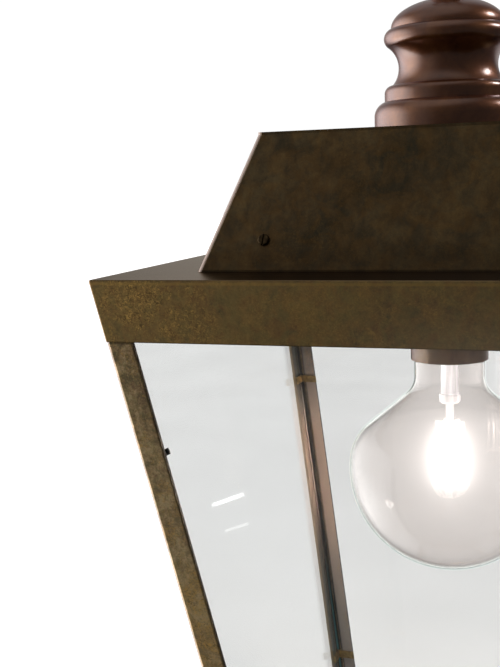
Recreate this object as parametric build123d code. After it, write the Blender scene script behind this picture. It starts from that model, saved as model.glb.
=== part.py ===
from build123d import *
from math import acos, cos, degrees, hypot, radians, sin, sqrt
import os

# Hanging garden lantern, in millimetres. +Z is up, -Y is the front.
# The origin is at the middle of the base, on the surface that the lantern stands on when it is taken down.

# Tapered body: square in plan, wide at the rim and narrow at the base
rim_width = 321.2
base_width = 183.2
body_height = 410.0
sheet = 1.5
fold_r = 2.5
band_height = 33.2
rim_corner_r = 1.2
rim_corner_inner_r = 0.3
rim_edge_r = 1.0
base_band_height = 24.0
base_lip = 14.0

# Corner posts, panes and the bent clips that hold the glass
post_flange = 15.8
post_sheet = 2.0
pane_thickness = 3.0
pane_corner_gap = 1.2
pane_overlap = 12.0
clip_height = 5.0
clip_sheet = 1.0
clip_reach = 1.4
clip_upper_z = 300.0
clip_lower_z = 93.0
clip_near_end_z = 316.3
clip_near_slope = 26.5
clip_near_width = 3.6

# Hipped roof with a flat top, screwed to an upstand on the ledge
roof_foot_width = 234.2
roof_top_width = 179.4
roof_height = 73.7
roof_collar_gap = 0.2
collar_height = 26.0
collar_seat = 6.0
screw_from_hip = 30.5
screw_above_foot = 16.3
screw_r = 1.75
screw_clearance = 0.2
screw_head_r = 3.2
screw_head_height = 1.8
screw_slot = 1.0
screw_turns = (84, 20, 131, 64, 8, 102, 47, 155)
screw_tail = 1.5
nut_across_flats = 6.0
nut_height = 2.8

# Turned finial
finial_foot_r = 43.6
finial_foot_side = 8.7
finial_ring_r = 37.4
finial_ring_z = 17.2
finial_ring_top_z = 26.6
finial_ring_round = 4.6
finial_waist_r = 29.0
finial_waist_z = 38.3
finial_neck_r = 34.7
finial_neck_z = 48.7
finial_bead_r = 37.4
finial_bead_z = 53.2
finial_dome_r = 33.3
finial_dome_z = 59.2
finial_dome_rise = 16.5
finial_wall = 3.0

# Stem on the finial, with the eye, the ring and the cable outlet
stem_r = 11.0
stem_height = 20.0
stem_edge_r = 1.5
stem_chamber_top = 4.0
ear_thickness = 5.0
ear_half_width = 8.0
ear_hole_r = 4.0
ear_hole_height = 10.0
ring_wire_r = 2.75
ring_mean_r = 17.0
ring_seat_gap = 0.3
bush_hole_r = 3.2
bush_wall = 1.2
bush_flange_r = 6.2
bush_flange = 1.2
bush_height = 10.5

# Threaded tube that carries the roof, the lamp holder and the cable
tube_r = 5.0
tube_bore_r = 3.75
tube_in_stem = 7.0
tube_fit = 0.1
locknut_across_flats = 14.0
locknut_height = 4.0
washer_r = 12.0
washer_thickness = 1.5
earth_tag_thickness = 0.8
earth_tag_length = 24.0
earth_tag_width = 8.0

# Lamp holder: a brass cup over a glazed ceramic socket
cup_r = 23.4
cup_wall = 1.0
cup_height = 58.0
cup_shoulder_r = 6.0
cup_mouth_drop = 64.3
socket_r = 19.0
socket_length = 30.0
socket_floor = 4.0
socket_boss_r = 9.0
socket_boss = 6.0
socket_gap = 0.3
sleeve_wall = 0.5
sleeve_clearance = 0.4
sleeve_length = 22.0
contact_width = 7.0
contact_length = 18.0
contact_thickness = 0.7
rivet_r = 2.0
lamp_contact_gap = 0.3

# Clear globe lamp with a screw cap
globe_r = 62.5
globe_drop = 133.3
globe_glass = 1.0
globe_turn_lift = 6.0
globe_turn_r = 30.0
globe_slope = 50.0
globe_flare_r = 14.0
globe_neck_r = 21.6
globe_neck_taper = 1.2
cap_r = 13.1
cap_length = 26.0
cap_wall = 0.4
cap_shoulder = 2.5
cap_glass_lap = 3.0
cap_glass_gap = 2.0
insulator_height = 3.0
insulator_r = 8.0
lamp_tip_r = 4.6
lamp_tip_height = 1.3
mount_tube_r = 5.6
mount_tube_wall = 1.0
mount_tube_drop = 86.0
mount_pinch_r = 6.6
mount_pinch_height = 6.0
mount_rod_r = 2.4
mount_rod_drop = 104.0
filament_count = 6
filament_r = 1.2
filament_length = 38.0
filament_circle_r = 9.0
filament_wire_r = 0.5
filament_gap = 0.2

# Worked out from the sizes above
rim_half = rim_width / 2
base_half = base_width / 2
lean = (rim_half - base_half) / body_height
band_z = body_height - band_height
roof_foot_half = roof_foot_width / 2
roof_top_half = roof_top_width / 2
roof_shell_height = roof_height - sheet
roof_lean = (roof_foot_half - roof_top_half) / roof_shell_height
roof_stretch = hypot(1, roof_lean)
roof_top_z = body_height + roof_height
finial_top = finial_dome_z + finial_dome_rise * sin(acos(stem_r / finial_dome_r))
stem_z = roof_top_z + finial_top
ear_hole_z = stem_z + stem_height + ear_hole_height
cup_mouth_z = body_height - cup_mouth_drop
cup_top_z = cup_mouth_z + cup_height
globe_z = body_height - globe_drop
sleeve_inner_r = cap_r + sleeve_clearance
sleeve_outer_r = sleeve_inner_r + sleeve_wall
tube_low_z = cup_top_z - cup_wall - locknut_height - socket_boss
socket_top_z = tube_low_z
socket_mouth_z = socket_top_z - socket_length
socket_floor_z = socket_top_z - socket_floor
lamp_tip_z = socket_floor_z - contact_thickness - lamp_contact_gap
cap_top_z = lamp_tip_z - lamp_tip_height - insulator_height
cap_mouth_z = cap_top_z - cap_length
post_sides = {"front_left": (-1, -1), "front_right": (1, -1), "back_right": (1, 1), "back_left": (-1, 1)}
pane_turns = {"front": 0, "right": 90, "back": 180, "left": 270}


def half_at(z):
    """Half of the body's outside width at a height above the base."""
    return base_half + lean * z


def roof_half_at(rise):
    """Half of the roof's outside width at a height above its foot."""
    return roof_foot_half - roof_lean * rise


def square(half, z, corner_r):
    return Pos(0, 0, z) * RectangleRounded(2 * half, 2 * half, corner_r)


def hopper(low_z, low_half, high_z, high_half, corner_r):
    """A square solid with straight sloping sides and the same small radius along its four corners."""
    return loft([square(low_half, low_z, corner_r), square(high_half, high_z, corner_r)], ruled=True)


def turned(outline):
    """A solid of revolution about the lantern's upright axis, from edges given as (radius, height)."""
    return revolve(Plane.XZ * make_face(outline), Axis.Z)


def disc(radius, height, z):
    return Pos(0, 0, z) * Cylinder(radius, height, align=(Align.CENTER, Align.CENTER, Align.MIN))


def hexagon(across_flats, height, z):
    return Pos(0, 0, z) * extrude(RegularPolygon(across_flats / 2, 6, major_radius=False), height)


def leaning(profile, height, side_x, side_y):
    """A level outline carried upwards along the slope of the body's corner or face."""
    path = Vector(side_x * lean * height, side_y * lean * height, height)
    return extrude(profile, amount=path.length, dir=path)


def make_rim_tray():
    outside = hopper(band_z, half_at(band_z), body_height, rim_half, rim_corner_r)
    rim_edges = outside.faces().sort_by(Axis.Z)[-1].outer_wire().edges()
    outside = fillet(rim_edges, rim_edge_r)
    low_z = band_z - sheet
    high_z = body_height - sheet
    inside = hopper(low_z, half_at(low_z) - sheet, high_z, half_at(high_z) - sheet, rim_corner_inner_r)
    window_half = roof_half_at(0) - (2 * sheet + roof_collar_gap) * roof_stretch - collar_seat
    window = Pos(0, 0, body_height) * Box(2 * window_half, 2 * window_half, 4 * sheet)
    return outside - inside - window


def make_base_frame():
    outside = hopper(0, base_half, base_band_height, half_at(base_band_height), fold_r)
    high_z = base_band_height + sheet
    inside = hopper(sheet, half_at(sheet) - sheet, high_z, half_at(high_z) - sheet, fold_r - sheet)
    window_half = base_half - sheet - base_lip
    window = Box(2 * window_half, 2 * window_half, 4 * sheet)
    return outside - inside - window


def make_corner_post(side_x, side_y):
    """A folded angle, butted between the base frame and the rim band and flush with both."""
    corner = half_at(base_band_height)
    centre = corner - post_flange / 2
    inner = corner - post_sheet - post_flange / 2
    angle = Pos(centre, centre) * Rectangle(post_flange, post_flange)
    angle = fillet(angle.vertices().group_by(Axis.X)[-1].sort_by(Axis.Y)[-1], fold_r)
    cut = Pos(inner, inner) * Rectangle(post_flange, post_flange)
    cut = fillet(cut.vertices().group_by(Axis.X)[-1].sort_by(Axis.Y)[-1], fold_r - post_sheet)
    profile = Pos(0, 0, base_band_height) * (angle - cut)
    post = leaning(profile, band_z - base_band_height, 1, 1)
    if side_x < 0:
        post = mirror(post, Plane.YZ)
    if side_y < 0:
        post = mirror(post, Plane.XZ)
    return post


def make_side_pane(turn):
    """Clear glass behind two posts, standing on the base lip and reaching up behind the rim band."""
    low_z = sheet
    high_z = band_z + pane_overlap
    ends = []
    for z in (low_z, high_z):
        outer = half_at(z) - post_sheet
        half_width = outer - pane_thickness - pane_corner_gap
        middle = -outer + pane_thickness / 2
        ends.append(Pos(0, middle, z) * Rectangle(2 * half_width, pane_thickness))
    return Rot(0, 0, turn) * loft(ends, ruled=True)


def make_clip(z, height):
    """A strip bent round the inside of a corner, with a tongue between the panes to the post."""
    face = half_at(z) - post_sheet - pane_thickness
    reach = post_flange + clip_reach - post_sheet - pane_thickness
    wing = Pos(face - reach / 2, face - clip_sheet / 2) * Rectangle(reach, clip_sheet)
    other_wing = Pos(face - clip_sheet / 2, face - reach / 2) * Rectangle(clip_sheet, reach)
    tongue_end = half_at(z) - post_sheet - clip_sheet / 2
    tongue_start = face - clip_sheet / 2
    tongue_length = (tongue_end - tongue_start) * sqrt(2)
    tongue_middle = (tongue_end + tongue_start) / 2
    tongue = Pos(tongue_middle, tongue_middle) * Rot(0, 0, 45) * Rectangle(tongue_length, clip_sheet)
    profile = Pos(0, 0, z) * (wing + other_wing + tongue)
    return leaning(profile, height, 1, 1)


def make_near_clip():
    """The upper clip of the front left corner, which sits higher and climbs along the front pane."""
    face = half_at(clip_near_end_z) - post_sheet - pane_thickness
    reach = post_flange + clip_reach - post_sheet - pane_thickness
    low_z = clip_near_end_z - reach
    tall = Rot(0, 0, 180) * make_clip(low_z, 2 * reach)
    strip = Pos(-2 * reach, 0, 0) * Box(4 * reach, 4 * reach, clip_near_width)
    end = Pos(reach - face, -face, clip_near_end_z) * Rot(0, -clip_near_slope, 0)
    return tall & end * strip


def make_glass_clips():
    clips = [Rot(0, 0, 90 * index) * make_clip(clip_lower_z, clip_height) for index in range(4)]
    clips += [Rot(0, 0, 90 * index) * make_clip(clip_upper_z, clip_height) for index in (0, 1, 3)]
    return clips + [make_near_clip()]


def screw_places():
    """Two places on each flank of the roof, on its outside face and facing out of it."""
    along = roof_half_at(screw_above_foot) - screw_from_hip
    outside = -roof_half_at(screw_above_foot)
    places = []
    for quarter in range(4):
        for side in (-1, 1):
            origin = (side * along, outside, body_height + screw_above_foot)
            flank = Plane(origin=origin, x_dir=(1, 0, 0), z_dir=(0, -1, roof_lean))
            places.append(Rot(0, 0, 90 * quarter) * flank.location)
    return places


def screw_holes():
    depth = 4 * sheet + 2 * roof_collar_gap
    hole = Cylinder(screw_r + screw_clearance, 2 * depth)
    return [place * hole for place in screw_places()]


def make_roof_shell():
    high_z = body_height + roof_shell_height
    wall = sheet * roof_stretch
    outside = hopper(body_height, roof_foot_half, high_z, roof_top_half, fold_r)
    low_in = body_height - sheet
    high_in = high_z + sheet
    high_half_in = roof_half_at(roof_shell_height + sheet) - wall
    inside = hopper(low_in, roof_half_at(-sheet) - wall, high_in, high_half_in, fold_r - sheet)
    shell = outside - inside
    for hole in screw_holes():
        shell -= hole
    return shell


def make_roof_top_plate():
    plate = extrude(square(roof_top_half, roof_top_z - sheet, fold_r), sheet)
    return plate - disc(tube_r + tube_fit, 2 * sheet, roof_top_z - 1.5 * sheet)


def make_roof_collar():
    outer = roof_foot_half - (sheet + roof_collar_gap) * roof_stretch
    inner = outer - sheet * roof_stretch
    high_z = body_height + collar_height
    outside = hopper(body_height, outer, high_z, outer - roof_lean * collar_height, fold_r)
    low_in = body_height - sheet
    high_in = high_z + sheet
    high_half_in = inner - roof_lean * (collar_height + sheet)
    inside = hopper(low_in, inner + roof_lean * sheet, high_in, high_half_in, fold_r - sheet)
    collar = outside - inside
    for hole in screw_holes():
        collar -= hole
    return collar


def make_roof_screws():
    grip = 2 * sheet + roof_collar_gap + nut_height + screw_tail
    head = extrude(Circle(screw_head_r), screw_head_height)
    head = fillet(head.edges().sort_by(Axis.Z)[-1], screw_head_height / 2)
    shank = extrude(Circle(screw_r), -grip)
    slot = Pos(0, 0, screw_head_height) * Box(3 * screw_head_r, screw_slot, screw_head_height)
    screw = head + shank - slot
    return [place * Rot(0, 0, turn) * screw for place, turn in zip(screw_places(), screw_turns)]


def make_roof_nuts():
    seat = 2 * sheet + roof_collar_gap
    nut = extrude(RegularPolygon(nut_across_flats / 2, 6, major_radius=False), -nut_height)
    nut = Pos(0, 0, -seat) * (nut - Cylinder(screw_r + screw_clearance / 2, 4 * nut_height))
    return [place * nut for place in screw_places()]


def finial_outline():
    """Outside of the finial from its foot to the flat for the stem, as radius and height."""
    foot = Line((finial_foot_r, 0), (finial_foot_r, finial_foot_side))
    shoulder = TangentArc((finial_foot_r, finial_foot_side), (finial_ring_r, finial_ring_z), tangent=(0, 1))
    ring_high = (finial_ring_r, finial_ring_top_z - finial_ring_round)
    ring = Line((finial_ring_r, finial_ring_z), ring_high)
    ring_top = (finial_ring_r - finial_ring_round, finial_ring_top_z)
    ring_edge = TangentArc(ring_high, ring_top, tangent=(0, 1))
    neck = (finial_neck_r, finial_neck_z)
    cove = ThreePointArc(ring_top, (finial_waist_r, finial_waist_z), neck)
    bead = ThreePointArc(neck, (finial_bead_r, finial_bead_z), (finial_dome_r, finial_dome_z))
    dome_end = degrees(acos(stem_r / finial_dome_r))
    dome = EllipticalCenterArc((0, finial_dome_z), finial_dome_r, finial_dome_rise, 0, arc_size=dome_end)
    return [foot, shoulder, ring, ring_edge, cove, bead, dome]


def make_finial():
    flat = Line((stem_r, finial_top), (0, finial_top))
    axis = Line((0, finial_top), (0, 0))
    base = Line((0, 0), (finial_foot_r, 0))
    solid = Pos(0, 0, roof_top_z) * turned(finial_outline() + [flat, axis, base])
    cavity_r = finial_waist_r - finial_wall
    hollow = disc(cavity_r, finial_dome_z, roof_top_z)
    dome_rise = finial_top - finial_dome_z - finial_wall
    crown = scale(Sphere(1), (cavity_r, cavity_r, dome_rise))
    hollow += Pos(0, 0, roof_top_z + finial_dome_z) * crown
    bore = disc(tube_r + tube_fit, finial_top + 2, roof_top_z - 1)
    return solid - hollow - bore


def bush_seat():
    """Distance from the lantern's axis to the flat on the stem that the outlet bush seats on."""
    return sqrt(stem_r ** 2 - bush_flange_r ** 2)


def sideways(shape):
    """Turn a shape made upright at the origin towards the back, at the height of the outlet bush."""
    return Pos(0, 0, stem_z + bush_height) * Rot(-90, 0, 0) * shape


def make_hanging_eye():
    """Stem, cable chamber and flat ear in one casting, screwed on the tube."""
    stem = disc(stem_r, stem_height, stem_z)
    stem = fillet(stem.edges().sort_by(Axis.Z)[-1], stem_edge_r)
    root_z = stem_z + stem_height - 2 * stem_edge_r
    ear_height = ear_hole_z - root_z
    ear = Pos(0, 0, root_z + ear_height / 2) * Box(ear_thickness, 2 * ear_half_width, ear_height)
    crown = Pos(0, 0, ear_hole_z) * Rot(0, 90, 0) * Cylinder(ear_half_width, ear_thickness)
    hole = Pos(0, 0, ear_hole_z) * Rot(0, 90, 0) * Cylinder(ear_hole_r, 4 * ear_thickness)
    chamber = disc(tube_r + tube_fit, stem_height - stem_chamber_top, stem_z)
    outlet = sideways(disc(bush_hole_r + bush_wall + tube_fit, 2 * stem_r, 0))
    flat = sideways(Pos(0, 0, bush_seat() + stem_r) * Box(4 * stem_r, 2 * bush_flange_r + 1, 2 * stem_r))
    return stem + ear + crown - hole - chamber - outlet - flat


def make_cable_bush():
    """Smooth bush in the side of the stem that the supply cable leaves by."""
    inner_end = tube_r + 2 * tube_fit
    barrel = disc(bush_hole_r + bush_wall, bush_seat() - inner_end, inner_end)
    flange = disc(bush_flange_r, bush_flange, bush_seat())
    return sideways(barrel + flange - disc(bush_hole_r, 2 * stem_r, 0))


def make_hanging_ring():
    seat_z = ear_hole_z + ear_hole_r - ring_seat_gap - ring_wire_r
    return Pos(0, 0, seat_z + ring_mean_r) * Rot(90, 0, 0) * Torus(ring_mean_r, ring_wire_r)


def make_threaded_tube():
    high_z = stem_z + tube_in_stem
    tube = disc(tube_r, high_z - tube_low_z, tube_low_z)
    return tube - disc(tube_bore_r, high_z - tube_low_z + 2, tube_low_z - 1)


def tube_hole(z):
    return disc(tube_r + tube_fit, 20, z - 10)


def make_roof_washer():
    z = roof_top_z - sheet - washer_thickness
    return disc(washer_r, washer_thickness, z) - tube_hole(z)


def make_earth_tag():
    """Ring tag for the earth wire, clamped on the tube under the roof."""
    z = roof_top_z - sheet - washer_thickness - earth_tag_thickness
    eye = disc(washer_r - 3, earth_tag_thickness, z)
    tail_middle = Pos(earth_tag_length / 2, 0, z + earth_tag_thickness / 2)
    tail = tail_middle * Box(earth_tag_length, earth_tag_width, earth_tag_thickness)
    return eye + tail - tube_hole(z)


def make_roof_locknut():
    z = roof_top_z - sheet - washer_thickness - earth_tag_thickness - locknut_height
    return hexagon(locknut_across_flats, locknut_height, z) - tube_hole(z)


def make_holder_nuts():
    above = hexagon(locknut_across_flats, locknut_height, cup_top_z)
    below_z = cup_top_z - cup_wall - locknut_height
    below = hexagon(locknut_across_flats, locknut_height, below_z)
    return [above - tube_hole(cup_top_z), below - tube_hole(below_z)]


def make_holder_cup():
    outside = disc(cup_r, cup_height, cup_mouth_z)
    outside = fillet(outside.edges().sort_by(Axis.Z)[-1], cup_shoulder_r)
    inside = disc(cup_r - cup_wall, cup_height - cup_wall + 1, cup_mouth_z - 1)
    inside = fillet(inside.edges().sort_by(Axis.Z)[-1], cup_shoulder_r - cup_wall)
    return outside - inside - tube_hole(cup_top_z)


def make_holder_socket():
    """Ceramic body that carries the contacts, on the end of the tube."""
    body = disc(socket_r, socket_length, socket_mouth_z)
    body = fillet(body.edges().sort_by(Axis.Z)[-1], 2 * socket_gap)
    boss = disc(socket_boss_r, socket_boss, socket_top_z)
    well = disc(sleeve_outer_r + socket_gap / 2, socket_length - socket_floor + 1, socket_mouth_z - 1)
    rivet_hole = disc(rivet_r + socket_gap / 2, 2 * socket_floor, socket_floor_z - 1)
    rivet_hole = Pos(contact_length / 3, 0, 0) * rivet_hole
    return body + boss - well - tube_hole(socket_top_z + socket_boss) - rivet_hole


def make_holder_sleeve():
    """Brass screw sleeve of the holder, plain here."""
    z = socket_floor_z - sleeve_length
    return disc(sleeve_outer_r, sleeve_length, z) - disc(sleeve_inner_r, sleeve_length + 2, z - 1)


def make_centre_contact():
    z = socket_floor_z - contact_thickness
    strip = Pos(0, 0, z + contact_thickness / 2) * Box(contact_length, contact_width, contact_thickness)
    rivet = Pos(contact_length / 3, 0, 0) * disc(rivet_r, socket_floor, socket_floor_z)
    return strip + rivet


def make_lamp_cap():
    """Screw cap of the lamp: a thin shell with a shoulder under the insulator, plain here."""
    top_r = insulator_r
    shoulder_z = cap_top_z - cap_shoulder
    outline = Polyline(
        (top_r, cap_top_z), (cap_r, shoulder_z), (cap_r, cap_mouth_z), (cap_r - cap_wall, cap_mouth_z),
        (cap_r - cap_wall, shoulder_z - cap_wall), (top_r, cap_top_z - 2 * cap_wall), close=True,
    )
    return turned([outline])


def make_lamp_insulator():
    outline = Polyline(
        (0, cap_top_z - 2 * cap_wall), (insulator_r, cap_top_z - 2 * cap_wall), (insulator_r, cap_top_z),
        (lamp_tip_r, cap_top_z + insulator_height), (0, cap_top_z + insulator_height), close=True,
    )
    return turned([outline])


def make_lamp_tip():
    return disc(lamp_tip_r, lamp_tip_height, cap_top_z + insulator_height)


def globe_outline(inset):
    """Half of the globe's section, as radius and height, inset for the inside face: a ball that turns in to a
    straight shoulder, a flare from the shoulder to the neck, and a taper from the neck into the cap."""
    ball_r = globe_r - inset
    turn_r = globe_turn_r - inset
    flare_r = globe_flare_r + inset
    neck_r = globe_neck_r - inset
    end_r = cap_r - cap_wall - inset
    across = cos(radians(globe_slope))
    rise = sin(radians(globe_slope))
    bottom = (0, globe_z - ball_r)
    turn_start = (ball_r * cos(radians(globe_turn_lift)), globe_z + ball_r * sin(radians(globe_turn_lift)))
    middle_r = (globe_r - globe_turn_r) * cos(radians(globe_turn_lift))
    middle_z = globe_z + (globe_r - globe_turn_r) * sin(radians(globe_turn_lift))
    turn_end = (middle_r + turn_r * across, middle_z + turn_r * rise)
    flare_start_r = neck_r + flare_r * (1 - across)
    flare_start = (flare_start_r, turn_end[1] + (turn_end[0] - flare_start_r) * across / rise)
    flare_end = (neck_r, flare_start[1] + flare_r * rise)
    cone_end = (end_r, cap_mouth_z - cap_glass_gap)
    cone_start = (neck_r, cone_end[1] - globe_neck_taper * (neck_r - end_r))
    top = (end_r, cap_mouth_z + cap_glass_lap)
    axis_top = (0, cap_mouth_z + cap_glass_lap)
    ball = ThreePointArc(bottom, (ball_r, globe_z), turn_start)
    turn = TangentArc(turn_end, turn_start, tangent=(rise, -across))
    shoulder = Line(turn_end, flare_start)
    flare = TangentArc(flare_end, flare_start, tangent=(0, -1))
    neck = Polyline(flare_end, cone_start, cone_end, top, axis_top, bottom)
    return [ball, turn, shoulder, flare, neck]


def make_lamp_globe():
    return turned(globe_outline(0)) - turned(globe_outline(globe_glass))


def make_lamp_mount():
    """Glass stem inside the lamp: a tube from the neck, a pinch round the wires, and a rod below it."""
    top_z = cap_mouth_z + cap_glass_lap
    pinch_z = body_height - mount_tube_drop
    tube_bore = mount_tube_r - mount_tube_wall
    tube = disc(mount_tube_r, top_z - pinch_z, pinch_z)
    tube += disc(cap_r - cap_wall - globe_glass, mount_tube_wall, top_z - mount_tube_wall)
    tube -= disc(tube_bore, top_z - pinch_z + 1, pinch_z)
    pinch = disc(mount_pinch_r, mount_pinch_height, pinch_z - mount_pinch_height)
    pinch = fillet(pinch.edges(), mount_tube_wall)
    rod_z = body_height - mount_rod_drop
    rod = disc(mount_rod_r, pinch_z - rod_z, rod_z)
    return tube + pinch + rod


def make_filament_frame():
    """Wires that carry the filaments: a middle wire and a star at each end."""
    star_z = body_height - mount_rod_drop - filament_wire_r
    low_star_z = star_z - 2 * filament_wire_r - 2 * filament_gap - filament_length
    frame = disc(filament_wire_r, star_z - low_star_z, low_star_z)
    arm = Rot(0, 90, 0) * disc(filament_wire_r, filament_circle_r, 0)
    for z in (star_z, low_star_z):
        for index in range(filament_count):
            frame += Pos(0, 0, z) * Rot(0, 0, 360 * index / filament_count) * arm
    return frame


def make_filaments():
    high_z = body_height - mount_rod_drop - 2 * filament_wire_r - filament_gap
    low_z = high_z - filament_length
    rod = Pos(filament_circle_r - filament_r, 0, 0) * disc(filament_r, filament_length, low_z)
    return [Rot(0, 0, 360 * index / filament_count) * rod for index in range(filament_count)]


def save(name, solids):
    """Write one sub-part. A list becomes one file with its solids kept apart."""
    if isinstance(solids, list):
        shape = Compound(children=[piece.solid() for piece in solids])
    else:
        shape = solids.solid()
    shape.label = name
    export_step(shape, f"parts/{name}.step")


os.makedirs("parts", exist_ok=True)

save("rim_tray", make_rim_tray())
save("base_frame", make_base_frame())
for name, (side_x, side_y) in post_sides.items():
    save(f"corner_post_{name}", make_corner_post(side_x, side_y))
for name, turn in pane_turns.items():
    save(f"side_pane_{name}", make_side_pane(turn))
save("glass_clips", make_glass_clips())
save("roof_shell", make_roof_shell())
save("roof_top_plate", make_roof_top_plate())
save("roof_collar", make_roof_collar())
save("roof_screws", make_roof_screws())
save("roof_nuts", make_roof_nuts())
save("finial", make_finial())
save("hanging_eye", make_hanging_eye())
save("hanging_ring", make_hanging_ring())
save("cable_bush", make_cable_bush())
save("threaded_tube", make_threaded_tube())
save("roof_washer", make_roof_washer())
save("earth_tag", make_earth_tag())
save("roof_locknut", make_roof_locknut())
save("holder_nuts", make_holder_nuts())
save("holder_cup", make_holder_cup())
save("holder_socket", make_holder_socket())
save("holder_sleeve", make_holder_sleeve())
save("centre_contact", make_centre_contact())
save("lamp_cap", make_lamp_cap())
save("lamp_insulator", make_lamp_insulator())
save("lamp_tip", make_lamp_tip())
save("lamp_globe", make_lamp_globe())
save("lamp_mount", make_lamp_mount())
save("filament_frame", make_filament_frame())
save("filaments", make_filaments())
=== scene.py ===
import bpy
import bmesh
from math import cos, radians, sin
from mathutils import Matrix, Vector

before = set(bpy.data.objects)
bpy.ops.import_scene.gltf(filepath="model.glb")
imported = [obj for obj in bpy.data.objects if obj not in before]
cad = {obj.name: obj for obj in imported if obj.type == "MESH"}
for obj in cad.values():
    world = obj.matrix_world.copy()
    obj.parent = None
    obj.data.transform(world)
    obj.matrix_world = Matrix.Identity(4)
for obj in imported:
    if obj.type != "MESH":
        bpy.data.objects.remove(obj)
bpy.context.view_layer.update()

# The photograph's viewpoint: a little to the right of the front, just above the rim
camera_place = (0.10442, -0.65489, 0.4616)
camera_turn = radians(19.676)
camera_dip = radians(8.442)
camera_roll = radians(-1.92)
focal_px = 1077.07
long_side_px = 667
sensor_mm = 36

# The lantern's own measures in millimetres: its taper, the flanges of its posts, and the heights of its seams
foot_half_width = 91.6
taper = 0.168293
post_flange = 15.8
no_flange = 400.0  # past every face, for pieces without a free edge
base_top = 24.0
band_foot = 376.8
band_top = 410.0
near_rim_corner = (-128, -156, 394)
near_upper_clip = (-122, -134, 316)

# Light in the room: its level all round, and soft lights by their turn to the right from the viewer's side, lift,
# inner and outer half-angle in degrees, and strength
room_level = 0.1
soft_lights = (
    (-117, -4, 0, 50, 3.2),  # wide window on the left
    (-113, -42, 5, 36, 2.0),  # its light off the floor
    (-85, 5, 10, 60, 0.32),  # pale wall beside the window
    (180, 35, 15, 42, 0.4),  # dim wall behind the lantern
    (98, 32, 3.5, 9.0, 26.0),  # small high window on the right, which the finial mirrors
    (-180, 6, 1, 12, 0.5),  # low light behind, which the ledge mirrors
    (140, -12, 8, 28, 0.75),  # light behind on the right, which the left pane mirrors
    (-60, 75, 10, 50, 0.4),  # ceiling
)

# Bars of window light that the far post mirrors: two ends and the point that each faces in metres, thickness in
# metres, and power in watts
window_strips = (
    ("window_strip_near", (0.3880, 0.9985, 0.0648), (0.3650, 1.0475, 0.0582),
     (-0.132, -0.046, 0.26), 0.0042, 0.005),
    ("window_strip_glow", (0.3890, 0.9963, 0.0651), (0.3640, 1.0497, 0.0579),
     (-0.132, -0.046, 0.26), 0.009, 0.0012),
    ("window_strip_far", (0.3876, 1.003, 0.0148), (0.3694, 1.041, 0.0082),
     (-0.129, -0.042, 0.241), 0.0048, 0.0005),
)

# The lit lamp: where its light comes from in metres, how wide it is, its power in watts, and the heights in
# millimetres between which its filaments fade to an even glow
lamp_place = (0, 0, 0.286)
lamp_glow_r = 0.014
lamp_power = 3.5
bright_below = (284, 304)
bright_glow = 8.0
even_glow = 2.5

backdrop = (1.02, 1.02, 1.02, 1)
backdrop_behind_glass = (0.86, 0.857, 0.85, 1)

# Dark seam lines: dark joints with painted shade in them, where one part meets or overlaps another
seam_dark = "120c07"
sides = ("front", "right", "back", "left")
corners = ("front_left", "front_right", "back_right", "back_left")


def linear(hex_colour):
    """An sRGB hex colour as linear red, green, blue and one."""
    channels = [int(hex_colour[i:i + 2], 16) / 255 for i in (0, 2, 4)]
    return tuple(c / 12.92 if c <= 0.04045 else ((c + 0.055) / 1.055) ** 2.4 for c in channels) + (1.0,)


def add(tree, kind, sockets=None, stops=None, **settings):
    """One node, with its settings, the values or links of its sockets, and its ramp's stops. A node given for
    a socket is linked by its first output."""
    node = tree.nodes.new("ShaderNode" + kind)
    for name, value in settings.items():
        setattr(node, name, value)
    for name, value in (sockets or {}).items():
        if isinstance(value, bpy.types.Node):
            value = value.outputs[0]
        if isinstance(value, bpy.types.NodeSocket):
            tree.links.new(value, node.inputs[name])
        else:
            node.inputs[name].default_value = value
    for place, (position, colour) in enumerate(stops or []):
        ramp = node.color_ramp.elements
        stop = ramp[place] if place < 2 else ramp.new(position)
        stop.position = position
        stop.color = linear(colour)
    return node


def new_material(name):
    """An empty material with its output, and object coordinates in millimetres."""
    material = bpy.data.materials.new(name)
    material.use_nodes = True
    tree = material.node_tree
    tree.nodes.clear()
    output = add(tree, "OutputMaterial")
    place = add(tree, "TexCoord").outputs["Object"]
    return material, tree, output, add(tree, "Mapping", {"Vector": place, "Scale": (1000, 1000, 1000)})


def finish_material(tree, output, sockets):
    """The surface that a material's patterns lead to."""
    surface = add(tree, "BsdfPrincipled", sockets)
    tree.links.new(surface.outputs["BSDF"], output.inputs["Surface"])
    return surface


def faded(tree, value, start, end, share=1.0):
    """A share of full strength where a value is under its start, none past its end."""
    return add(tree, "MapRange", {
        "Value": value, "From Min": start, "From Max": end, "To Min": share, "To Max": 0.0})


def grown(tree, value, start, end, share=1.0):
    """None where a value is under its start, a share of full strength past its end."""
    return add(tree, "MapRange", {
        "Value": value, "From Min": start, "From Max": end, "To Min": 0.0, "To Max": share})


def together(tree, first, second):
    """How far two shares hold at once."""
    return add(tree, "Math", {0: first, 1: second}, operation="MULTIPLY")


def away_from(tree, value, level):
    """How far a value is from a level, either way."""
    gap = add(tree, "Math", {0: value, 1: level}, operation="SUBTRACT")
    return add(tree, "Math", {0: gap}, operation="ABSOLUTE")


def straight_views(tree):
    """One where the backdrop is seen bare, and one where it is seen straight through glass."""
    path = add(tree, "LightPath")
    bounced = add(tree, "Math", {0: path.outputs["Diffuse Depth"], 1: path.outputs["Glossy Depth"]})
    direct = add(tree, "Math", {0: bounced, 1: 0.5}, operation="LESS_THAN")
    return path.outputs["Is Camera Ray"], together(tree, path.outputs["Is Transmission Ray"], direct)


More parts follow.
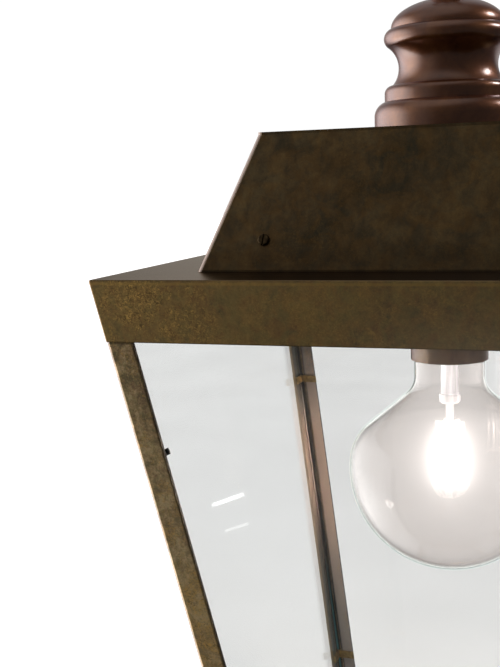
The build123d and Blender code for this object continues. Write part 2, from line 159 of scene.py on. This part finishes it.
def patina(tree, mm, cloud_mm, mottle_mm, grain_share):
    """The depth of the patina, from clouds, mottling, a fine grain and faint upright runs where it was wiped.
    Gives the mottling and the grain alone too."""
    clouds = add(tree, "TexNoise", {
        "Vector": mm, "Scale": 1 / cloud_mm, "Detail": 5, "Roughness": 0.6, "Distortion": 0.6})
    mottle = add(tree, "TexNoise", {
        "Vector": mm, "Scale": 1 / mottle_mm, "Detail": 6, "Roughness": 0.7, "Distortion": 0.4})
    grain = add(tree, "TexNoise", {"Vector": mm, "Scale": 1 / 1.1, "Detail": 3, "Roughness": 0.65})
    tall = add(tree, "Mapping", {"Vector": mm, "Scale": (1, 1, 0.1)})
    runs = add(tree, "TexNoise", {
        "Vector": tall, "Scale": 1 / 4, "Detail": 4, "Roughness": 0.6, "Distortion": 0.4})
    depth = together(tree, mottle, 0.36)
    for layer, share in ((clouds, 0.5 - grain_share), (grain, grain_share), (runs, 0.16)):
        depth = add(tree, "Math", {0: layer, 1: share, 2: depth}, operation="MULTIPLY_ADD")
    return depth, mottle, grain


def wear(tree, mm, worn, thin_share, specks, worn_specks):
    """Shares of thin patina in patches, of worm-like traces of dried solution, and of the pits between them, all
    thicker in the worn place."""
    patches = add(tree, "TexNoise", {
        "Vector": mm, "Scale": 1 / 17, "Detail": 9, "Roughness": 0.78, "Distortion": 0.9})
    raised = add(tree, "Math", {0: worn, 1: 0.1, 2: patches}, operation="MULTIPLY_ADD")
    worms = add(tree, "TexNoise", {"Vector": mm, "Scale": 1 / 1.5, "Detail": 1.5, "Distortion": 1.4})
    spread = add(tree, "Math", {0: worn, 1: worn_specks, 2: specks}, operation="MULTIPLY_ADD")
    spread = together(tree, grown(tree, patches, 0.42, 0.58), spread)
    traces = together(tree, grown(tree, worms, 0.54, 0.64), spread)
    pits = together(tree, faded(tree, worms, 0.34, 0.46, 0.6), spread)
    return grown(tree, raised, 0.5, 0.7, thin_share), traces, pits


def inside_tones(tree, inside, height, depth, to_arris, sideways):
    """Colours of the inside faces, which are paler than the outside, with light and shade painted on them: painted
    grey away from the height that catches the window, so that only that height keeps a painted highlight, painted
    shade under the rim, painted green-grey shade on the side flanges away from that height too, painted shade on
    the near side and in the fold, and blue-green low in the fold."""
    lit_height, lit_side_height = 232, 236
    grey_off_highlight = grown(tree, away_from(tree, height, lit_height), 30, 115, 0.9)
    side_flange_shade = grown(tree, away_from(tree, height, lit_side_height), 12, 60, 0.9)
    side_flange_shade = together(tree, side_flange_shade, grown(tree, sideways, 0, 2))
    fold_blue_green = together(tree, faded(tree, height, 90, 170, 0.9), faded(tree, to_arris, 2.4, 3.4))
    # Painted light and shade: grey off the highlight height, shade under the rim, green-grey shade on the side
    # flanges, shade on the near side and in the fold; then blue-green low in the fold
    tones = (
        (grey_off_highlight, "9a9892"), (grown(tree, height, 275, 350, 0.9), "363434"), (side_flange_shade, "34403c"),
        (faded(tree, depth, -60, 0), "100e0c"), (faded(tree, to_arris, 5.3, 6.8), "0b0e0d"),
        (fold_blue_green, "4f8486"))
    return [(inside, "b6a294")] + [(together(tree, inside, share), colour) for share, colour in tones]


def aged_brass(name, tones, tints, thin_tone, thin_share, cloud_mm, polish, ledge_reflection_tone, arris_mm, lines,
               worn_at, worn_mm, specks, worn_specks, evenness, low_share=0.0, inside_share=0.0,
               flange_mm=no_flange, mottle_mm=4.5, grain_share=0.2, grazing=(0.72, 0.58, 0.44, 1)):
    """Sheet brass darkened with a chemical patina by hand: soft brown and olive clouds, ochre where the patina is
    thin, fine dark pits, pale worm-like traces of dried solution, faint upright runs where it was wiped, a
    smoother ledge with a painted reflection of the room as its tone, dark seams with painted shade in them,
    painted shade along the free edges and on the cut edges of the front flanges, a painted lit tone on the cut
    edges of the side flanges, and pale along the folds, where hands have rubbed the metal bare and a highlight is
    painted.
    Sizes are in millimetres, and each line has its height, reach, share and colour."""
    material, tree, output, mm = new_material(name)
    apart = add(tree, "SeparateXYZ", {0: mm})
    depth, height = apart.outputs["Y"], apart.outputs["Z"]
    across = add(tree, "Math", {0: apart.outputs["X"]}, operation="ABSOLUTE")
    along = add(tree, "Math", {0: depth}, operation="ABSOLUTE")
    sideways = add(tree, "Math", {0: across, 1: along}, operation="SUBTRACT")
    frontways = add(tree, "Math", {0: along, 1: across}, operation="SUBTRACT")
    to_arris = add(tree, "Math", {0: sideways}, operation="ABSOLUTE")
    half_width = add(tree, "Math", {0: height, 1: taper, 2: foot_half_width}, operation="MULTIPLY_ADD")
    outer = add(tree, "Math", {0: across, 1: along}, operation="MAXIMUM")
    inset = add(tree, "Math", {0: half_width, 1: outer}, operation="SUBTRACT")
    inside = grown(tree, inset, 1.5, 1.9, inside_share)
    facing_up = add(tree, "SeparateXYZ", {0: add(tree, "TexCoord").outputs["Normal"]}).outputs["Z"]
    ledge = grown(tree, facing_up, 0.5, 0.9, 0.9)
    from_worn = add(tree, "VectorMath", {0: mm, 1: worn_at}, operation="DISTANCE").outputs["Value"]
    worn = faded(tree, from_worn, 12, worn_mm)

    patina_depth, mottle, grain = patina(tree, mm, cloud_mm, mottle_mm, grain_share)
    tone = add(tree, "ValToRGB", {"Fac": patina_depth}, stops=[
        (0.51 - evenness, tones[0]), (0.51 + evenness, tones[2]), (0.51, tones[1])])
    hues = add(tree, "TexNoise", {
        "Vector": mm, "Scale": 4 / cloud_mm, "Detail": 5, "Roughness": 0.65, "Distortion": 0.8})
    tint = add(tree, "ValToRGB", {"Fac": hues}, stops=[(0.4, tints[0]), (0.6, tints[1])])
    tone = add(tree, "MixRGB", {"Fac": 0.4, "Color1": tone, "Color2": tint})

    thin, traces, pits = wear(tree, mm, worn, thin_share, specks, worn_specks)
    overlays = [
        (faded(tree, height, 60, 376, low_share), tones[2]), (thin, thin_tone), (traces, "d0a860"),
        # Faces that look up get a painted reflection of the room as their tone, painted darker near the worn place
        # and along the front and back
        (pits, "38362c"), (ledge, ledge_reflection_tone),
        (together(tree, ledge, faded(tree, from_worn, 30, 80, 0.5)), "3a3024"),
        (together(tree, ledge, faded(tree, sideways, -7, -2, 0.5)), "2c2218")]
    overlays += inside_tones(tree, inside, height, depth, to_arris, sideways)
    for line_height, reach, share, colour in lines:
        overlays.append((
            faded(tree, away_from(tree, height, line_height), 0.5 * reach, reach, share), colour))

    below_face = grown(tree, inset, 0.04, 0.12)
    # Painted shade on the free edges and on the cut edges of the front flanges, and a painted lit tone on the cut
    # edges of the side flanges
    front_cut_shade, side_cut_light = (
        together(tree, grown(tree, beyond, flange_mm - 2.0, flange_mm - 1.7), below_face)
        for beyond in (frontways, sideways))
    free_edge_shade = together(
        tree, faded(tree, inset, 0.4, 1.0), grown(tree, frontways, flange_mm - 1.6, flange_mm - 0.6, 0.8))
    # Pale along the folds: metal rubbed bare by hands, with a painted highlight of the window on it; the bump
    # rounds the folds
    rubbed_and_highlit = faded(tree, to_arris, 0.4 * arris_mm, 1.1 * arris_mm)
    sheltered = add(tree, "Math", {0: inside, 1: ledge})
    rubbed_and_highlit = together(tree, rubbed_and_highlit, faded(tree, sheltered, 0.0, 0.8))
    overlays += [
        (free_edge_shade, "1c140c"), (front_cut_shade, "080604"), (side_cut_light, "7a6a50"),
        (together(tree, rubbed_and_highlit, 0.95), "a89a96")]
    for share, colour in overlays:
        tone = add(tree, "MixRGB", {"Fac": share, "Color1": tone, "Color2": linear(colour)})

    rough = add(tree, "MapRange", {
        "Value": patina_depth, "From Min": 0.43, "From Max": 0.62,
        "To Min": polish + 0.1, "To Max": polish - 0.04})
    for share, level in ((ledge, 0.17), (front_cut_shade, 0.8), (inside, 0.34)):
        rough = add(tree, "MixRGB", {"Fac": share, "Color1": rough, "Color2": (level, level, level, 1)})
    relief = add(tree, "Math", {0: grain, 1: 0.5, 2: mottle}, operation="MULTIPLY_ADD")
    pitted = add(tree, "Bump", {"Height": relief, "Strength": 0.3, "Distance": 0.0004})
    rounded = add(tree, "Bump", {
        "Height": together(tree, rubbed_and_highlit, rubbed_and_highlit), "Strength": 1.0, "Distance": 0.001 * arris_mm,
        "Normal": pitted}, invert=True)
    finish_material(tree, output, {
        "Base Color": tone, "Metallic": 0.85, "Roughness": rough, "Specular Tint": grazing,
        "Normal": rounded})
    return material


def bronzed_copper(name, tones, turning_mm, coat):
    """Turned copper alloy, bronzed dark and thickly lacquered: red-brown in its depth under a clear coat that
    makes its highlights pale, with very fine turning lines round it."""
    material, tree, output, mm = new_material(name)
    clouds = add(tree, "TexNoise", {
        "Vector": mm, "Scale": 1 / 16, "Detail": 4, "Roughness": 0.55, "Distortion": 0.4})
    flat = add(tree, "Mapping", {"Vector": mm, "Scale": (0.03, 0.03, 1)})
    lines = add(tree, "TexNoise", {"Vector": flat, "Scale": 1 / turning_mm, "Detail": 3, "Roughness": 0.6})
    tone = add(tree, "ValToRGB", {"Fac": clouds}, stops=[(0.3, tones[0]), (0.72, tones[2]), (0.5, tones[1])])
    rough = add(tree, "MapRange", {
        "Value": lines, "From Min": 0.3, "From Max": 0.7, "To Min": 0.36, "To Max": 0.46})
    bump = add(tree, "Bump", {"Height": lines, "Strength": 0.05, "Distance": 0.0001})
    finish_material(tree, output, {
        "Base Color": tone, "Metallic": 0.7, "Roughness": rough, "Specular Tint": (0.5, 0.28, 0.17, 1),
        "Coat Weight": coat, "Coat Roughness": 0.22, "Coat IOR": 1.7, "Normal": bump})
    return material


def plain_metal(name, dark, light, roughness, grain_mm, shade_at=None, lit=0.0):
    """Small metal fittings with their own faint mottling and no lacquer, with painted shade round one place if
    given, and a painted glow for the light of the filaments beside them if lit."""
    material, tree, output, mm = new_material(name)
    clouds = add(tree, "TexNoise", {"Vector": mm, "Scale": 1 / grain_mm, "Detail": 5, "Roughness": 0.6})
    tone = add(tree, "ValToRGB", {"Fac": clouds}, stops=[(0.35, dark), (0.65, light)])
    if shade_at:
        away = add(tree, "VectorMath", {0: mm, 1: shade_at}, operation="DISTANCE").outputs["Value"]
        tone = add(tree, "MixRGB", {
            "Fac": faded(tree, away, 25, 40, 0.95), "Color1": tone, "Color2": linear("0c0a08")})
    rough = add(tree, "MapRange", {
        "Value": clouds, "From Min": 0.3, "From Max": 0.7,
        "To Min": roughness - 0.06, "To Max": roughness + 0.06})
    bump = add(tree, "Bump", {"Height": clouds, "Strength": 0.1, "Distance": 0.0002})
    finish_material(tree, output, {
        "Base Color": tone, "Metallic": 1.0, "Roughness": rough, "Emission Color": linear("fffaf6"),
        "Emission Strength": lit, "Normal": bump})
    return material


def clear_to_lamps(tree, output, glass, share):
    """Let lamps shine through the glass, as thin clear glass does."""
    path = add(tree, "LightPath")
    gap = add(tree, "BsdfTransparent", {"Color": (share, share, share, 1)})
    mixed = add(tree, "MixShader", {0: path.outputs["Is Shadow Ray"], 1: glass, 2: gap})
    tree.links.new(mixed.outputs["Shader"], output.inputs["Surface"])


def float_glass(name):
    """Clear float glass, 3 mm: colourless face on, green where it is seen through an edge."""
    material, tree, output, mm = new_material(name)
    waves = add(tree, "TexNoise", {"Vector": mm, "Scale": 1 / 90, "Detail": 1})
    bump = add(tree, "Bump", {"Height": waves, "Strength": 0.02, "Distance": 0.0005})
    glass = finish_material(tree, output, {
        "Base Color": (1, 1, 1, 1), "Roughness": 0.0, "IOR": 1.52, "Transmission Weight": 1.0,
        "Normal": bump})
    clear_to_lamps(tree, output, glass, 0.96)
    tinted = add(tree, "VolumeAbsorption", {"Color": linear("a9d6c8"), "Density": 6.0})
    tree.links.new(tinted.outputs["Volume"], output.inputs["Volume"])
    return material


def blown_glass(name):
    """Thin blown soda glass of the lamp: colourless, with long soft waves, and a painted glow along its rim for
    the lamp's light.
    """
    material, tree, output, mm = new_material(name)
    waves = add(tree, "TexNoise", {"Vector": mm, "Scale": 1 / 40, "Detail": 2})
    bump = add(tree, "Bump", {"Height": waves, "Strength": 0.05, "Distance": 0.0005})
    facing = add(tree, "LayerWeight", {"Blend": 0.5}).outputs["Facing"]
    glass = finish_material(tree, output, {
        "Base Color": (0.955, 0.92, 0.905, 1), "Roughness": 0.0, "IOR": 1.26, "Transmission Weight": 1.0,
        "Emission Color": linear("eef8f4"), "Emission Strength": grown(tree, facing, 0.77, 1.0, 1.25),
        "Normal": bump})
    clear_to_lamps(tree, output, glass, 0.97)
    return material


def lit_glass(name):
    """Glass stem close above the filaments, with a painted white glow along its length for the light it guides
    from them.
    """
    material, tree, output, mm = new_material(name)
    tall = add(tree, "Mapping", {"Vector": mm, "Scale": (1, 1, 0.1)})
    streaks = add(tree, "TexNoise", {"Vector": tall, "Scale": 1 / 2.5, "Detail": 2})
    level = add(tree, "MapRange", {
        "Value": streaks, "From Min": 0.35, "From Max": 0.65, "To Min": 0.05, "To Max": 0.25})
    finish_material(tree, output, {
        "Base Color": (1, 1, 1, 1), "Roughness": 0.2, "IOR": 1.5, "Transmission Weight": 0.7,
        "Emission Color": linear("f6f8ff"), "Emission Strength": level})
    return material


def glazed_ceramic(name):
    """Cream-white glazed porcelain: a clear gloss over a faintly uneven body."""
    material, tree, output, mm = new_material(name)
    clouds = add(tree, "TexNoise", {"Vector": mm, "Scale": 1 / 8, "Detail": 3})
    tone = add(tree, "ValToRGB", {"Fac": clouds}, stops=[(0.3, "dcd8cc"), (0.7, "efece2")])
    finish_material(tree, output, {"Base Color": tone, "Roughness": 0.16, "Coat Weight": 0.5})
    return material


def moulded_plastic(name, dark, light, roughness):
    """Moulded fittings with a fine even grain from the mould."""
    material, tree, output, mm = new_material(name)
    grain = add(tree, "TexNoise", {"Vector": mm, "Scale": 1 / 0.4, "Detail": 2})
    tone = add(tree, "ValToRGB", {"Fac": grain}, stops=[(0.3, dark), (0.7, light)])
    bump = add(tree, "Bump", {"Height": grain, "Strength": 0.1, "Distance": 0.0001})
    finish_material(tree, output, {"Base Color": tone, "Roughness": roughness, "Normal": bump})
    return material


def lit_filament(name):
    """Filament coated with phosphor and lit: warm white, far brighter than the room, and brightest at its foot."""
    material, tree, output, mm = new_material(name)
    grain = add(tree, "TexNoise", {"Vector": mm, "Scale": 1 / 1.5, "Detail": 2})
    tone = add(tree, "ValToRGB", {"Fac": grain}, stops=[(0.3, "fff4ee"), (0.7, "ffffff")])
    through = straight_views(tree)[1]
    low = faded(tree, add(tree, "SeparateXYZ", {0: mm}).outputs["Z"], *bright_below, bright_glow)
    level = add(tree, "Math", {
        0: through, 1: low, 2: together(tree, through, even_glow)}, operation="MULTIPLY_ADD")
    finish_material(tree, output, {
        "Base Color": (0.05, 0.05, 0.05, 1), "Roughness": 0.5, "Emission Color": tone,
        "Emission Strength": level})
    return material


def paint(names, material):
    """One material over the whole of each piece."""
    for name in names:
        materials = cad[name].data.materials
        for place in range(len(materials)):
            materials[place] = material
        if not len(materials):
            materials.append(material)


band_brass = aged_brass(
    "aged_brass_band", tones=("6f5a3e", "9a7d4c", "be9c5c"), tints=("706e50", "8a6a4c"),
    thin_tone="b89252", thin_share=0.35, cloud_mm=30, polish=0.4, ledge_reflection_tone="a08868", arris_mm=0.9,
    lines=((band_foot, 0.6, 0.6, seam_dark), (band_top - 0.1, 0.9, 0.4, seam_dark),
           (band_top - 2.0, 0.9, 0.3, "c8a058"), (base_top, 0.7, 0.6, seam_dark)),
    worn_at=near_rim_corner, worn_mm=44, specks=0.3, worn_specks=0.8, evenness=0.11, inside_share=0.8)
roof_brass = aged_brass(
    "aged_brass_roof", tones=("3d301c", "604a2e", "806842"), tints=("303a36", "5a462e"),
    thin_tone="705836", thin_share=0.25, cloud_mm=46, polish=0.42, ledge_reflection_tone="32281c", arris_mm=2.6,
    # Roof lines: darker towards its foot, and a dark joint with painted shade where it sits on the ledge
    lines=((band_top, 16.0, 0.3, "1c100a"), (band_top, 1.2, 0.6, seam_dark)),
    worn_at=(-20, -105, 520), worn_mm=50, specks=0.05, worn_specks=0.0, evenness=0.12,
    mottle_mm=12, grain_share=0.07)
post_brass = aged_brass(
    "aged_brass_post", tones=("705c46", "b0986a", "e8d09e"), tints=("827e5c", "926c58"),
    thin_tone="c8a05c", thin_share=0.5, cloud_mm=18, polish=0.4, ledge_reflection_tone="4a3c2c", arris_mm=2.1,
    lines=((band_foot, 1.4, 0.6, seam_dark), (base_top, 0.7, 0.6, seam_dark)),
    worn_at=(-130, -130, 200), worn_mm=90, specks=0.6, worn_specks=0.3, evenness=0.058,
    low_share=0.3, inside_share=0.95, flange_mm=post_flange, grazing=(0.95, 0.92, 0.9, 1))
clip_brass = plain_metal("clip_brass", "6a5a3c", "9a8458", 0.36, 3, near_upper_clip)
screw_brass = plain_metal("dark_screw_brass", "2e2418", "50412c", 0.42, 3)
fitting_brass = plain_metal("unpolished_brass", "a07c40", "c9a45c", 0.36, 4)
copper = bronzed_copper("bronzed_copper", ("502810", "66381a", "7a4a26"), 0.35, 0.8)
holder_metal = bronzed_copper("bronzed_holder_brass", ("48341e", "5c4630", "70583e"), 0.25, 0.6)
zinc = plain_metal("zinc_plated_steel", "9a9c9e", "c3c5c6", 0.34, 5)
lit_wire = plain_metal("lit_support_wire", "b4b0a8", "d4d0c8", 0.3, 2, lit=1.2)
nickel = plain_metal("nickel_plated_cap", "b4b0a8", "d4d0c8", 0.24, 5)
tin = plain_metal("solder", "9c9c9a", "c8c8c4", 0.38, 2)
porcelain = glazed_ceramic("glazed_porcelain")
bush_plastic = moulded_plastic("black_nylon", "0c0c0d", "1a1a1b", 0.5)
cap_glass = moulded_plastic("dark_glass_insulator", "0a0a12", "16161f", 0.12)
pane_glass = float_glass("clear_float_glass")
lamp_glass = blown_glass("clear_blown_glass")
stem_glass = lit_glass("lit_glass_stem")
glow = lit_filament("lit_filament")

paint(["rim_tray", "base_frame"], band_brass)
paint(["roof_shell", "roof_top_plate", "roof_collar"], roof_brass)
paint(["corner_post_" + corner for corner in corners], post_brass)
paint(["side_pane_" + side for side in sides], pane_glass)
paint(["glass_clips"], clip_brass)
paint(["roof_screws", "hanging_ring"], screw_brass)
paint(["roof_nuts", "earth_tag", "holder_sleeve", "centre_contact"], fitting_brass)
paint(["finial", "hanging_eye"], copper)
paint(["cable_bush"], bush_plastic)
paint(["threaded_tube", "roof_washer", "roof_locknut", "holder_nuts"], zinc)
paint(["holder_cup"], holder_metal)
paint(["holder_socket"], porcelain)
paint(["lamp_cap"], nickel)
paint(["filament_frame"], lit_wire)
paint(["lamp_insulator"], cap_glass)
paint(["lamp_tip"], tin)
paint(["lamp_globe"], lamp_glass)
paint(["lamp_mount"], stem_glass)
paint(["filaments"], glow)


def make_floor():
    """A plain pale floor, wide enough to reach the horizon. It glows a little with faint clouds where it is seen
    through the panes, and mirrors only the room."""
    mesh = bpy.data.meshes.new("floor")
    shape = bmesh.new()
    bmesh.ops.create_circle(shape, cap_ends=True, segments=64, radius=12)
    shape.to_mesh(mesh)
    shape.free()
    floor = bpy.data.objects.new("floor", mesh)
    bpy.context.scene.collection.objects.link(floor)
    material, tree, output, mm = new_material("pale_floor")
    straight, through = straight_views(tree)
    seen = add(tree, "Math", {0: straight, 1: through}, operation="MAXIMUM")
    haze = add(tree, "TexNoise", {"Vector": mm, "Scale": 1 / 190, "Detail": 2, "Roughness": 0.4})
    dim = add(tree, "MapRange", {
        "Value": haze, "From Min": 0.3, "From Max": 0.7, "To Min": 0.485, "To Max": 0.55})
    level = add(tree, "Math", {0: straight, 1: 0.5, 2: dim}, operation="MULTIPLY_ADD")
    floor_tone = linear("b4b4b2")
    pale = add(tree, "BsdfPrincipled", {
        "Base Color": floor_tone, "Roughness": 0.9, "Emission Color": (1, 1, 1, 1),
        "Emission Strength": level})
    mirrored = add(tree, "Math", {
        0: add(tree, "LightPath").outputs["Glossy Depth"], 1: 0.5}, operation="GREATER_THAN")
    plain = add(tree, "BsdfDiffuse", {"Color": floor_tone})
    shaded = add(tree, "MixShader", {0: mirrored, 1: plain, 2: add(tree, "BsdfTransparent")})
    surface = add(tree, "MixShader", {0: seen, 1: shaded, 2: pale})
    tree.links.new(surface.outputs["Shader"], output.inputs["Surface"])
    mesh.materials.append(material)


def make_room():
    """A dark room with soft lights round it, and a pale backdrop that is only seen and lights nothing."""
    world = bpy.data.worlds.new("studio")
    bpy.context.scene.world = world
    world.use_nodes = True
    tree = world.node_tree
    tree.nodes.clear()
    towards = add(tree, "TexCoord").outputs["Generated"]
    level = room_level
    for turn, lift, narrow, wide, strength in soft_lights:
        bearing = camera_turn + radians(turn)
        flat = cos(radians(lift))
        aim = Vector((sin(bearing) * flat, -cos(bearing) * flat, sin(radians(lift))))
        near = add(tree, "VectorMath", {0: towards, 1: aim}, operation="DOT_PRODUCT").outputs["Value"]
        soft = add(tree, "MapRange", {
            "Value": near, "From Min": cos(radians(wide)), "From Max": cos(radians(narrow)),
            "To Min": 0.0, "To Max": strength}, interpolation_type="SMOOTHSTEP")
        level = add(tree, "Math", {0: level, 1: soft})
    straight, through = straight_views(tree)
    seen = add(tree, "MixRGB", {"Fac": through, "Color1": level, "Color2": backdrop_behind_glass})
    seen = add(tree, "MixRGB", {"Fac": straight, "Color1": seen, "Color2": backdrop})
    light = add(tree, "Background", {"Color": seen, "Strength": 1.0})
    output = add(tree, "OutputWorld")
    tree.links.new(light.outputs["Background"], output.inputs["Surface"])


def strip_light(name, end_a, end_b, aim, thickness, power):
    """A narrow light from one end to the other, facing a point."""
    light = bpy.data.lights.new(name, "AREA")
    light.shape = "RECTANGLE"
    along = Vector(end_b) - Vector(end_a)
    middle = (Vector(end_a) + Vector(end_b)) / 2
    back = (middle - Vector(aim)).normalized()
    side = back.cross(along).normalized()
    light.size = along.length
    light.size_y = thickness
    light.energy = power
    strip = bpy.data.objects.new(name, light)
    turn = Matrix((side.cross(back).normalized(), side, back)).transposed()
    strip.matrix_world = Matrix.Translation(middle) @ turn.to_4x4()
    strip.visible_camera = False
    bpy.context.scene.collection.objects.link(strip)


def lamp_light():
    """The light that the lamp throws on the inside of the lantern."""
    light = bpy.data.lights.new("lamp_light", "POINT")
    light.energy = lamp_power
    light.color = linear("fff0e6")[:3]
    light.shadow_soft_size = lamp_glow_r
    lamp = bpy.data.objects.new("lamp_light", light)
    lamp.location = lamp_place
    lamp.visible_camera = False
    lamp.visible_transmission = False
    bpy.context.scene.collection.objects.link(lamp)


def make_camera():
    """A camera at the photograph's viewpoint, with the photograph's lens."""
    data = bpy.data.cameras.new("camera")
    data.sensor_width = sensor_mm
    data.lens = focal_px * sensor_mm / long_side_px
    data.clip_start = 0.02
    camera = bpy.data.objects.new("camera", data)
    ahead = Vector((-sin(camera_turn), cos(camera_turn), 0))
    forward = ahead * cos(camera_dip) - Vector((0, 0, sin(camera_dip)))
    right = Vector((cos(camera_turn), sin(camera_turn), 0))
    up = right.cross(forward)
    rolled_right = right * cos(camera_roll) + up * sin(camera_roll)
    rolled_up = up * cos(camera_roll) - right * sin(camera_roll)
    turn = Matrix((rolled_right, rolled_up, -forward)).transposed()
    camera.matrix_world = Matrix.Translation(camera_place) @ turn.to_4x4()
    bpy.context.scene.collection.objects.link(camera)
    bpy.context.scene.camera = camera


def make_bloom():
    """The glow that a lens spreads round the lit lamp."""
    scene = bpy.context.scene
    scene.use_nodes = True
    tree = scene.node_tree
    tree.nodes.clear()
    layers = tree.nodes.new("CompositorNodeRLayers")
    glare = tree.nodes.new("CompositorNodeGlare")
    glare.glare_type = "BLOOM"
    for socket, value in (("Threshold", 1.5), ("Strength", 1.0), ("Size", 0.45)):
        glare.inputs[socket].default_value = value
    result = tree.nodes.new("CompositorNodeComposite")
    tree.links.new(layers.outputs["Image"], glare.inputs["Image"])
    tree.links.new(glare.outputs["Image"], result.inputs["Image"])


make_floor()
make_room()
lamp_light()
for window_strip in window_strips:
    strip_light(*window_strip)
make_camera()
bpy.context.scene.view_settings.view_transform = "Standard"
make_bloom()
